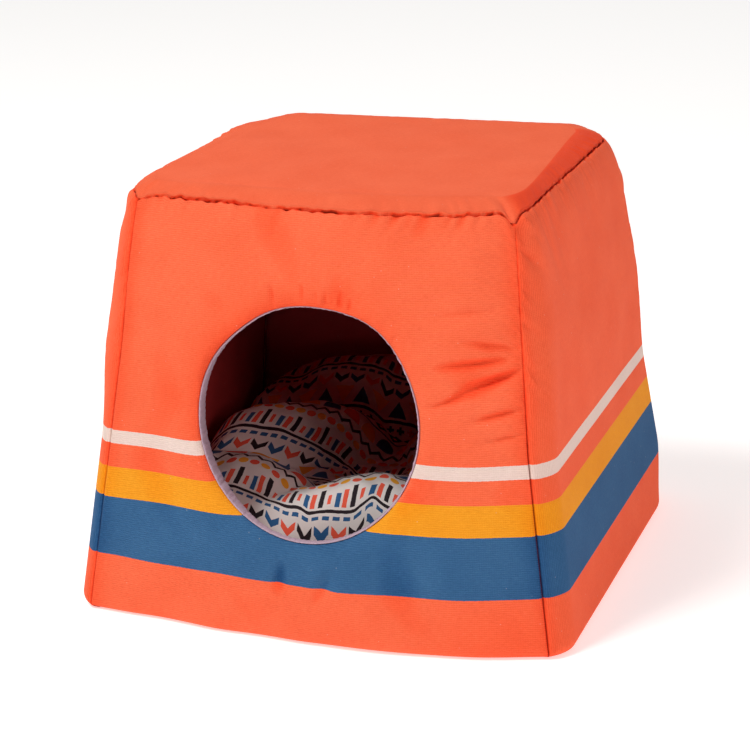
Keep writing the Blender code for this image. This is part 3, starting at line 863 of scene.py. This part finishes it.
def side_wrinkles(walked, z, from_seam, seed, right):
    """Height of the small folds on a side wall: gathers fan out under the roof's seam."""
    from_roof = SEAM_Z - z
    near_front = np.exp(-walked / 0.09)
    gathers = RIGHT_SEAM_GATHERS if right else LEFT_SEAM_GATHERS
    folds = puckers(z, from_seam, gathers, seed) * ease((z - GATHERS_FROM) / 0.12)
    folds += puckers(walked, from_roof, SIDE_ROOF_GATHERS, seed + 2.0) * (0.12 + 0.88 * near_front)
    folds += puckers(walked, from_roof, SIDE_ROOF_FOLDS, seed + 7.0) * near_front
    folds += 0.0007 * smooth_noise(0.055, seed + 4.0, walked, z) * ease((z - GATHERS_FROM) / 0.08)
    return folds * mix(0.08, 1.0, ease(from_seam / 0.0045)) * mix(0.1, 1.0, ease(from_roof / 0.003))


def side_panel(name, right, cloth, seed):
    """A padded side wall whose cloth wraps round the corners to the front and the back."""
    row = end_spaced(200, 0.75)[:, None]
    z = row * WALL_TOP
    outer_z = z - SEAM_DEPTH * ROOF_MITRE * (row == 1.0)
    x, y, nx, ny, walked = side_section(outer_z, right)
    from_seam = np.minimum(walked, walked[:, -1:] - walked)
    inset = seam_inset(from_seam, z)
    folds = side_wrinkles(walked, z, from_seam, seed, right)
    front_share, back_share = (0.75, 1.0) if right else (1.0, 0.0)
    height = SIDE_SWELL * mix(front_share, back_share, ease(walked / 0.25))
    lift = folds + height * swell(z, 0.13, from_seam, 0.02)
    x = x + nx * (lift - inset)
    y = y + ny * (lift - inset)
    x[:, [0, -1]] -= inset[:, [0, -1]] * SIDE_MITRE - GAP / 2
    mirror = 1.0 if right else -1.0
    inner_z = row * INNER_TOP
    inner_x = half_width(inner_z) - WALL_THICK + GAP / 2
    inner = places(mirror * inner_x, inner_columns(half_depth(inner_z) - WALL_THICK), inner_z)
    # Painted shade: the seams and the low places of the folds, and the whole right wall a little, are
    # coloured a deeper red, and the seams carry a painted shadow line.
    shade = np.maximum(seam_shade(from_seam, z, mirror * x, y), painted_fold_shade(folds))
    shade = np.maximum(shade, RIGHT_WALL_SHADE if right else 0.0)
    return padded_slab(name, along_roof_seam(mirror * x, y, outer_z), inner, places(z, walked), cloth, shade)


ACROSS_STEPS = 120


def house_outline(z):
    """Outer x, y round the whole house at a height, from the left front seam."""
    height = np.array([[z]])
    right_x, right_y = (part[0] for part in side_section(height, True)[:2])
    left_x, left_y = (part[0] for part in side_section(height, False)[:2])
    shares = end_spaced(ACROSS_STEPS, 0.75)[1:-1]
    across = mix(-left_x[0], right_x[0], shares)
    behind = mix(right_x[-1], -left_x[-1], shares)
    front = -half_depth(z) - front_bow(across, z)
    x = np.concatenate([across, right_x, behind, -left_x[::-1]])
    y = np.concatenate([front, right_y, half_depth(z) + 0.0 * behind, left_y[::-1]])
    return x, y


def inner_outline(z):
    """Inner x, y round the whole house, point for point with its outline."""
    wide = half_width(z) - WALL_THICK
    deep = half_depth(z) - WALL_THICK
    y = inner_columns(np.array([deep]))
    across = mix(-wide, wide, end_spaced(ACROSS_STEPS, 0.75)[1:-1])
    front = -deep - front_bow(across, z)
    x = np.concatenate([across, wide + 0.0 * y, -across, -wide + 0.0 * y])
    return x, np.concatenate([front, y, deep + 0.0 * across, y[::-1]])


def strip_run(x, y):
    """How far the roof's turned-down strip reaches in from the seam, which differs round the roof."""
    wide = half_width(SEAM_Z)
    deep = half_depth(SEAM_Z)
    back = ease((y + deep) / (2 * deep))
    right = mix(0.0085, 0.021, back)
    left = mix(0.016, 0.032, back)
    front = mix(0.015, 0.020, ease((x + 0.14) / 0.2))
    rear = 0.018 + 0.0 * x
    from_sides = np.stack([wide - x, wide + x, np.maximum(deep + y, 0), np.maximum(deep - y, 0)])
    weights = np.exp(-from_sides / 0.012)
    return (weights * np.stack([right, left, front, rear])).sum(axis=0) / weights.sum(axis=0)


# The roof's loops: the strip's lip (height, set back), and shares of the strip and of the top.
STRIP_LIP = ((0.0001, 0.0010), (0.0006, 0.0003), (0.0014, 0.0))
STRIP_SHARES = (0.04, 0.10, 0.18, 0.27, 0.37, 0.47, 0.57, 0.67, 0.76, 0.84, 0.90, 0.95, 1.0)
TOP_SHARES = (0.012, 0.025, 0.04, 0.06, 0.085, 0.115, 0.15, 0.20, 0.26, 0.33, 0.41, 0.50, 0.60, 0.70, 0.80,
              0.90, 0.97)
STRIP_RISE = 0.0016
STRIP_BEND = 0.022


def roof_panel(cloth):
    """The padded roof, in loops from its inner edge over the turned-down strip to the middle."""
    x, y = house_outline(SEAM_Z)
    ceiling = HEIGHT - ROOF_THICK
    inner_x, inner_y = inner_outline(ceiling)
    walked = np.cumsum(np.hypot(x - np.roll(x, 1), y - np.roll(y, 1)))
    edge = SEAM_DEPTH / WALL_THICK
    seam = SEAM_Z - corner_dip(x, y) + seam_wobble(x, y)
    loops = [places(inner_x, inner_y, ceiling)]
    loops.append(places(mix(x, inner_x, edge), mix(y, inner_y, edge), seam - SEAM_DEPTH * ROOF_MITRE))
    on_cloth = [places(inner_x, inner_y)] + [places(x, y)] * (1 + len(STRIP_LIP))
    inward_x, inward_y = -x / half_width(SEAM_Z), -y / half_depth(SEAM_Z)
    for lip, inset in STRIP_LIP:
        inset = inset + ROOF_SET_BACK
        loops.append(places(x + inward_x * inset, y + inward_y * inset, seam + lip))
    run = strip_run(x, y)
    left_back = ease((y + half_depth(SEAM_Z) - 0.01) / 0.03) * (x < 0)
    for share in STRIP_SHARES:
        inset = mix(ROOF_SET_BACK, run, share)
        px, py = x + inward_x * inset, y + inward_y * inset
        slope = 1.12 * share + 0.16 * math.sin(math.pi * share)
        flat = -STRIP_BEND * math.log(math.exp(-slope / STRIP_BEND) + math.exp(-1.0 / STRIP_BEND))
        rise = STRIP_RISE + (HEIGHT - STRIP_RISE - SEAM_Z - STRIP_RISE) * flat
        fold = puckers(walked, inset, ROOF_STRIP_GATHERS, 33.0) * mix(1.0, 0.05, left_back)
        sunk = (SEAM_Z - seam) * max(1.0 - share / 0.9, 0.0)
        loops.append(places(px, py, SEAM_Z + rise + fold - sunk))
        on_cloth.append(places(px, py) * (1 + 0.15 * (1 - share)))
    ridge_x, ridge_y, ridge_z = loops[-1].T
    for share in TOP_SHARES:
        px, py = mix(ridge_x, 0.0, share), mix(ridge_y, 0.0, share)
        level = HEIGHT - 0.0012 + 0.0011 * smooth_noise(0.075, 35.0, px, py) * min(share / 0.15, 1.0)
        loops.append(places(px, py, mix(ridge_z, level, ease(share / 0.06))))
        on_cloth.append(places(px, py))
    loops = np.array(loops)
    loops[..., 2] = np.minimum(loops[..., 2], HEIGHT)
    ends = [(0, 0, ceiling, 0, 0), (0, 0, float(loops[-1, :, 2].mean()), 0, 0)]
    # Painted shadow in the roof's gaping seam on the first loops, and painted shade that turns the right-hand
    # turned-down strip a deeper red.
    shade = np.zeros(loops.shape[:2])
    shade[1:4] = np.outer((1.0, 0.62, 0.22), roof_seam_shadow(x, y))
    shade[4:4 + len(STRIP_SHARES)] = STRIP_SHADE * ease((x - half_width(SEAM_Z) + 0.006) / 0.004)
    return looped("roof", loops, np.array(on_cloth), cloth, ends, shade)


# The tape's section round the doorway's edge: how far in, how far back, and 1 at its inner end.
TAPE_SECTION = (
    (0.0004, 0.0008, 0), (0.0003, -0.0001, 0), (0.0006, -0.0007, 0), (0.0011, -0.0009, 0),
    (0.0016, -0.0006, 0), (0.0018, 0.0005, 0), (0.0019, 0.0016, 0), (0.0019, 0.0030, 0),
    (0.0019, -0.0010, 1), (0.0015, -0.0002, 1), (0.0010, 0.0, 1), (0.0005, -0.0006, 1),
)


def doorway_tape(cloth):
    """The grey tape that closes the doorway's edge, with the small dents of its stitches."""
    angle = np.linspace(0, 2 * math.pi, 720, endpoint=False)
    walked = angle * DOOR_RADIUS
    edge_x, edge_z = door_point(door_radius(angle), angle)
    edge_y = -half_depth(edge_z) - front_bow(edge_x, edge_z) + DOOR_FRONT_ROLL
    back = door_edge_thick(edge_x, edge_z) + LINING_THICK + GAP
    stitch = np.exp(-((walked / TAPE_STITCH) % 1.0 - 0.5) ** 2 / 0.02)
    uneven = 0.00030 * wander(walked, 0.0, 0.005, 41.0) - 0.00035 * stitch
    loops = []
    on_cloth = []
    for inward, reach, end in TAPE_SECTION:
        x, z = door_point(door_radius(angle) - inward - uneven * (inward > 0.001), angle)
        loops.append(places(x, edge_y + reach + end * back, z))
        on_cloth.append(places(reach + end * back, walked))
    return looped("doorway_tape", np.array(loops), np.array(on_cloth), cloth)


# The linings' heights, and how far they lie inside the walls' outer planes.
LINING_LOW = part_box("lining_left")[0][2]
LINING_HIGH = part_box("lining_left")[1][2]
LINING_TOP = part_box("lining_roof")[1][2]
LINING_INSET = WALL_THICK + GAP
LINING_END_INSET = LINING_INSET + LINING_THICK + 2 * GAP


def lining_sheet(name, corners, inward, cloth, seed):
    """A sheet on a flat wall between four corners, with soft waves and a little fullness."""
    v = np.linspace(0, 1, 60)[:, None, None]
    u = np.linspace(0, 1, 60)[None, :, None]
    low_left, low_right_shade, high_right, high_left = np.array(corners)
    flat = mix(mix(low_left, low_right_shade, u), mix(high_left, high_right, u), v)
    wave = 0.0010 + 0.0012 * smooth_noise(0.05, seed, flat[..., 0], flat[..., 1], flat[..., 2])
    wave = wave[..., None] * (np.sin(math.pi * v) * np.sin(math.pi * u)) ** 0.3
    outer = flat + np.array(inward) * (0.2 * wave)
    inner = flat + np.array(inward) * (LINING_THICK + wave)
    return padded_slab(name, outer, inner, places(flat[..., 0] + flat[..., 1], flat[..., 2]), cloth)


def linings(cloth):
    """The inside cloth, a sheet on each wall and one under the roof."""
    around = ((LINING_LOW, -1), (LINING_LOW, 1), (LINING_HIGH, 1), (LINING_HIGH, -1))
    made = []
    for name, mirror in (("lining_left_wall", -1), ("lining_right_wall", 1)):
        corners = [(mirror * (half_width(z) - LINING_INSET), side * (half_depth(z) - LINING_INSET), z)
                   for z, side in around]
        made.append(lining_sheet(name, corners, (-mirror, 0, 0), cloth, 51.0 + mirror))
    corners = [(side * (half_width(z) - LINING_END_INSET), half_depth(z) - LINING_INSET, z)
               for z, side in around]
    made.append(lining_sheet("lining_back_wall", corners, (0, -1, 0), cloth, 55.0))
    wide, deep = roof_lining_halves()
    corners = [(x * wide, y * deep, LINING_TOP) for x, y in ((-1, -1), (1, -1), (1, 1), (-1, 1))]
    made.append(lining_sheet("lining_under_roof", corners, (0, 0, -1), cloth, 57.0))

    def edges(height):
        return -half_width(height) + LINING_END_INSET, half_width(height) - LINING_END_INSET

    border = panel_border(edges, LINING_LOW, LINING_HIGH, 60)
    x, z = panel_loops(border, (0.0, 0.003, 0.006, 0.0095, 0.013, 0.0165, 0.020, 0.023, 0.026),
                       (0.15, 0.3, 0.5, 0.7, 0.85, 1.0))
    y = front_back_face(x, z) + 2 * GAP
    loops = np.concatenate([places(x, y, z), places(x, y + LINING_THICK, z)[::-1]])
    on_cloth = np.concatenate([places(x, z), places(x, z)[::-1]])
    made.append(looped("lining_front_wall", loops, on_cloth, cloth))
    return made


def roof_lining_halves():
    """Half the width and half the depth of the lining under the roof."""
    return half_width(LINING_TOP) - LINING_INSET - GAP, half_depth(LINING_TOP) - LINING_INSET - GAP


# The cushion

def mound_top(x, y, mound):
    """Height of one dome over places x, y."""
    middle_x, middle_y, length, breadth, turn, top, foot = mound
    angle = math.radians(turn)
    dx = x - middle_x
    dy = y - middle_y
    along = (dx * math.cos(angle) + dy * math.sin(angle)) / length
    beside = (-dx * math.sin(angle) + dy * math.cos(angle)) / breadth
    past = along * along + beside * beside
    dome = np.where(past < 1.0, np.sqrt(np.maximum(1.0 - past, 0.0)), -0.5 * (past - 1.0))
    return foot + (top - foot) * dome


def soft_highest(heights):
    """The highest of some heights, with soft creases where they meet."""
    highest = heights.max(axis=0)
    return highest + CREASE_SOFTNESS * np.log(np.exp((heights - highest) / CREASE_SOFTNESS).sum(axis=0))


def cushion_top(x, y):
    """The cushion's upper face: mounds that meet in creases, falling to the pit."""
    mounds = soft_highest(np.array([mound_top(x, y, mound) for mound in MOUNDS]))
    floor = PIT.z + 0.15 * np.hypot(x - PIT.x, y - PIT.y)
    return soft_highest(np.array([mounds, floor]))


def cushion_reach(z, angle):
    """How far the cushion reaches from the pit in each direction: a rectangle with round corners."""
    room = WALL_THICK + LINING_THICK + 0.0045
    wide = half_width(z) - room
    deep = half_depth(z) - room
    low = 0.0 * angle
    high = low + wide + deep
    for _ in range(40):
        reach = (low + high) / 2
        x = np.abs(PIT.x + reach * np.cos(angle))
        y = np.abs(PIT.y + reach * np.sin(angle))
        past = np.hypot(np.maximum(x - wide + CUSHION_CORNER, 0), np.maximum(y - deep + CUSHION_CORNER, 0))
        outside = past > CUSHION_CORNER
        high = np.where(outside, reach, high)
        low = np.where(outside, low, reach)
    return low


def shoulder_drop(share):
    """How far the cushion's rounded shoulder falls at a share of its reach."""
    past = ramp(share - 0.80, 0.20)
    return 0.036 * (1.0 - np.sqrt(np.maximum(1.0 - past * past, 0.0)))


def cushion(cloth):
    """The cushion, in loops from the pit out to its rim, down its side and in under it."""
    angle = np.linspace(0, 2 * math.pi, 420, endpoint=False)
    reach = cushion_reach(CUSHION_EDGE_Z, angle)
    near_rim = 1.0 - 0.16 * np.linspace(1.0, 0.0, 24)[1:] ** 1.5
    shares = np.concatenate([np.linspace(0.012, 0.84, 110), near_rim])[:, None]
    x = PIT.x + shares * reach * np.cos(angle)
    y = PIT.y + shares * reach * np.sin(angle)
    uneven = 0.0014 * wander(x, y, 0.018, 61.0) + 0.0020 * wander(x, y, 0.05, 63.0)
    z = cushion_top(x, y) + uneven - shoulder_drop(shares)
    loops = [places(x, y, z)]
    for rise, tuck in CUSHION_SIDE:
        level = mix(CUSHION_FLOOR, z[-1], rise)
        out = np.minimum(cushion_reach(level, angle), reach + 0.004) - tuck
        loops.append(places(PIT.x + out * np.cos(angle), PIT.y + out * np.sin(angle), level)[None])
    loops = np.concatenate(loops)
    x, y = loops[..., 0], loops[..., 1]
    ends = [(PIT.x, PIT.y, float(z[0].mean()), *print_place(PIT.x, PIT.y)),
            (PIT.x, PIT.y, CUSHION_FLOOR, 0.0, 0.3)]
    # Painted shade: the far part of the cushion is tinted a darker red for the dimness inside the walls.
    shade = CABIN_SHADE * ease((y + 0.45 * x + 0.030) / 0.07)
    return looped("cushion_body", loops, print_place(x, y), cloth, ends, shade)


PRINT_GRID = np.linspace(-0.2, 0.2, 200)


def print_table():
    """Distances along the cloth over a grid of the cushion's plan: u along X, v along Y."""
    x, y = np.meshgrid(PRINT_GRID, PRINT_GRID, indexing="ij")
    angle = np.arctan2(y - PIT.y, x - PIT.x)
    share = np.minimum(np.hypot(x - PIT.x, y - PIT.y) / cushion_reach(CUSHION_EDGE_Z, angle), 1.0)
    slopes = np.gradient(cushion_top(x, y) - shoulder_drop(share), PRINT_GRID, PRINT_GRID)
    step = PRINT_GRID[1] - PRINT_GRID[0]
    u, v = (np.cumsum(np.sqrt(1 + np.minimum(slopes[axis] ** 2, 9.0)), axis=axis) * step for axis in (0, 1))
    centre = len(PRINT_GRID) // 2
    return u - u[centre:centre + 1, :], v - v[:, centre:centre + 1]


PRINT_TABLE = print_table()


def print_place(x, y):
    """Cloth coordinates at places in plan, read between the table's points."""
    step = PRINT_GRID[1] - PRINT_GRID[0]
    i, j = (np.clip((place - PRINT_GRID[0]) / step, 0, len(PRINT_GRID) - 1.001) for place in (x, y))
    i0, j0 = i.astype(int), j.astype(int)
    result = []
    for values in PRINT_TABLE:
        low = mix(values[i0, j0], values[i0 + 1, j0], i - i0)
        high = mix(values[i0, j0 + 1], values[i0 + 1, j0 + 1], i - i0)
        result.append(mix(low, high, j - j0))
    return places(*result)


# Stage

def stage():
    bpy.ops.mesh.primitive_plane_add(size=40.0, location=(0, 0, -0.0002))
    floor = bpy.context.object
    floor.name = "studio_floor"
    material = bpy.data.materials.new("studio_floor")
    material.use_nodes = True
    set_inputs(material.node_tree, material.node_tree.nodes["Principled BSDF"], {
        "Base Color": (0.88, 0.88, 0.87),
        "Roughness": 0.9,
        "Emission Color": (1.0, 1.0, 1.0),
        "Emission Strength": 0.48,
    })
    floor.data.materials.append(material)


def light(name, place, size, power, colour):
    """A square lamp that faces the middle of the house."""
    data = bpy.data.lights.new(name, "AREA")
    data.size = size
    data.energy = power
    data.color = colour
    lamp = bpy.data.objects.new(name, data)
    lamp.location = place
    lamp.rotation_euler = (Vector((0, 0, 0.15)) - Vector(place)).to_track_quat("-Z", "Y").to_euler()
    bpy.context.scene.collection.objects.link(lamp)


def lighting():
    """Light from all round, stronger from behind the house, and two lamps."""
    world = bpy.data.worlds.new("studio")
    world.use_nodes = True
    tree = world.node_tree
    direction = add_node(tree, "TexCoord").outputs["Generated"]
    behind = add_node(tree, "MapRange", {
        "Value": axes(tree, direction)[1],
        "From Min": -0.9,
        "From Max": 0.3,
        "To Min": 0.02,
        "To Max": 0.54,
    })
    set_inputs(tree, tree.nodes["Background"], {
        "Color": (1.0, 0.97, 0.95), "Strength": behind.outputs["Result"]})
    bpy.context.scene.world = world
    light("key_light", (-1.2, -1.35, 2.95), 0.9, 68.0, (1.0, 0.985, 0.97))
    light("low_light", (1.75, -1.8, 0.95), 0.6, 12.5, (1.0, 0.71, 0.69))


def display():
    """Show the colours as they are, without the film-like curve."""
    bpy.context.scene.view_settings.view_transform = "Standard"


def camera():
    back = Vector((math.sin(CAMERA_AZIMUTH) * math.cos(CAMERA_ELEVATION),
                   -math.cos(CAMERA_AZIMUTH) * math.cos(CAMERA_ELEVATION), math.sin(CAMERA_ELEVATION)))
    level = Vector((0, 0, 1)).cross(back).normalized()
    upright = back.cross(level)
    right = level * math.cos(CAMERA_ROLL) + upright * math.sin(CAMERA_ROLL)
    up = back.cross(right)
    data = bpy.data.cameras.new("photo_camera")
    data.lens = CAMERA_LENS
    data.sensor_width = 36.0
    data.clip_start = 0.05
    view = bpy.data.objects.new("photo_camera", data)
    turn = Matrix((right, up, back)).transposed().to_4x4()
    view.matrix_world = Matrix.Translation(CAMERA_TARGET + back * CAMERA_DISTANCE) @ turn
    bpy.context.scene.collection.objects.link(view)
    bpy.context.scene.camera = view


def build():
    display()
    camera()
    stage()
    lighting()
    weave = ribbed_weave()
    striped = woven_cloth("striped_cloth", "orange_cloth", weave, wall_stripes_with_shade,
                          pitch=0.0016, unevenness=2.1, bump=0.0005, sheen=0.02, specular=0.08)
    taped = woven_cloth("tape_cloth", "grey_tape", weave, TAPE_GREY,
                        pitch=0.0009, unevenness=0.8, bump=0.0002, sheen=0.1)
    lining = woven_cloth("lining_cloth", "grey_lining", weave, LINING_PAINTED_RED_LIGHT,
                         pitch=0.0012, unevenness=0.8, bump=0.0002, sheen=0.0)
    printed = woven_cloth("printed_cloth", "printed_cloth", weave, cushion_print_with_shade,
                          pitch=0.0009, unevenness=0.5, bump=0.00015, sheen=0.05, specular=0.2, lint=0.0)

    walls = {
        "front_panel": front_panel(striped),
        "back_panel": back_panel(striped),
        "right_panel": side_panel("right_wall", True, striped, 71.0),
        "left_panel": side_panel("left_wall", False, striped, 81.0),
        "roof_panel": roof_panel(striped),
        "cushion": cushion(printed),
    }
    for node, piece in walls.items():
        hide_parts(node)
    tape = doorway_tape(taped)
    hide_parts("doorway_binding")
    sheets = linings(lining)
    nodes = ("lining_left", "lining_right", "lining_back", "lining_roof", "lining_front")
    for piece, node in zip(sheets, nodes):
        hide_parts(node)
    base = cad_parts["base_panel"]
    base.data.materials.clear()
    base.data.materials.append(lining[0])


build()
